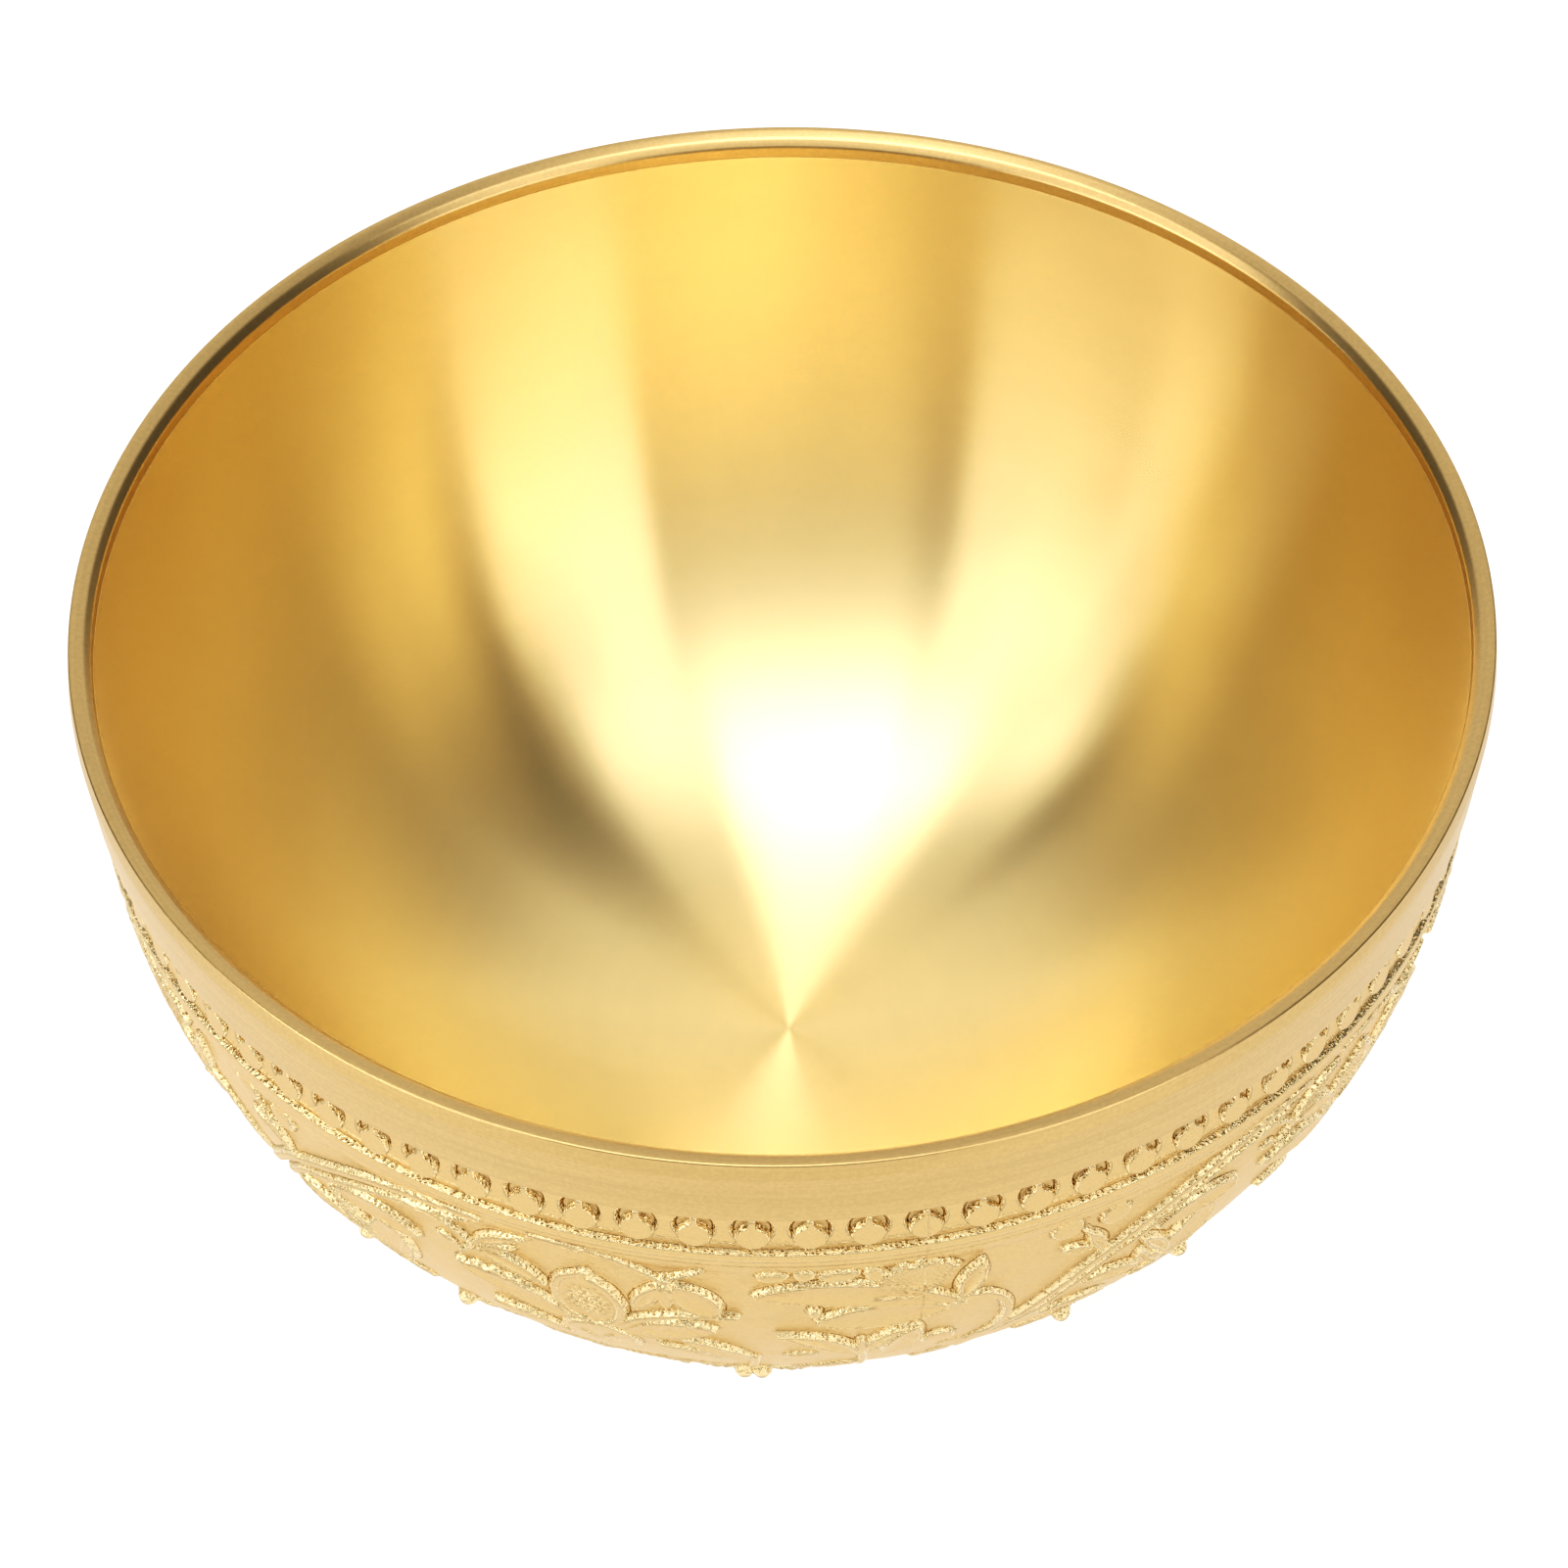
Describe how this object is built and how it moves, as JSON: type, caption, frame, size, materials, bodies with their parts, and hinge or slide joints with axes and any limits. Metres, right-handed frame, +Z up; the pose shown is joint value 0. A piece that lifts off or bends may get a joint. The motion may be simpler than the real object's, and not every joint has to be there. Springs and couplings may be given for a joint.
{
  "type": "footed bowl",
  "caption": "Round brass bowl with a smooth spun liner, a plain turned rim band, a stud row over a cast relief jacket, and a low foot ring.",
  "frame": {"origin": "on the bowl's axis, in the plane of the foot ring's sole", "axes": "+Z up along the bowl's axis, out of the mouth; +X and +Y radial"},
  "size_m": [0.11, 0.11, 0.0585],
  "materials": {
    "turned_brass": "fine lathe-turned, satin",
    "satin_brass": "circular brushed satin",
    "cast_brass": "matte cast relief with bright edges",
    "foot_brass": "lathe-turned, satin"
  },
  "bodies": {
    "root": {"rim_collar": "turned_brass", "inner_liner": "satin_brass", "relief_jacket": "cast_brass", "foot_ring": "foot_brass"}
  },
  "joints": []
}
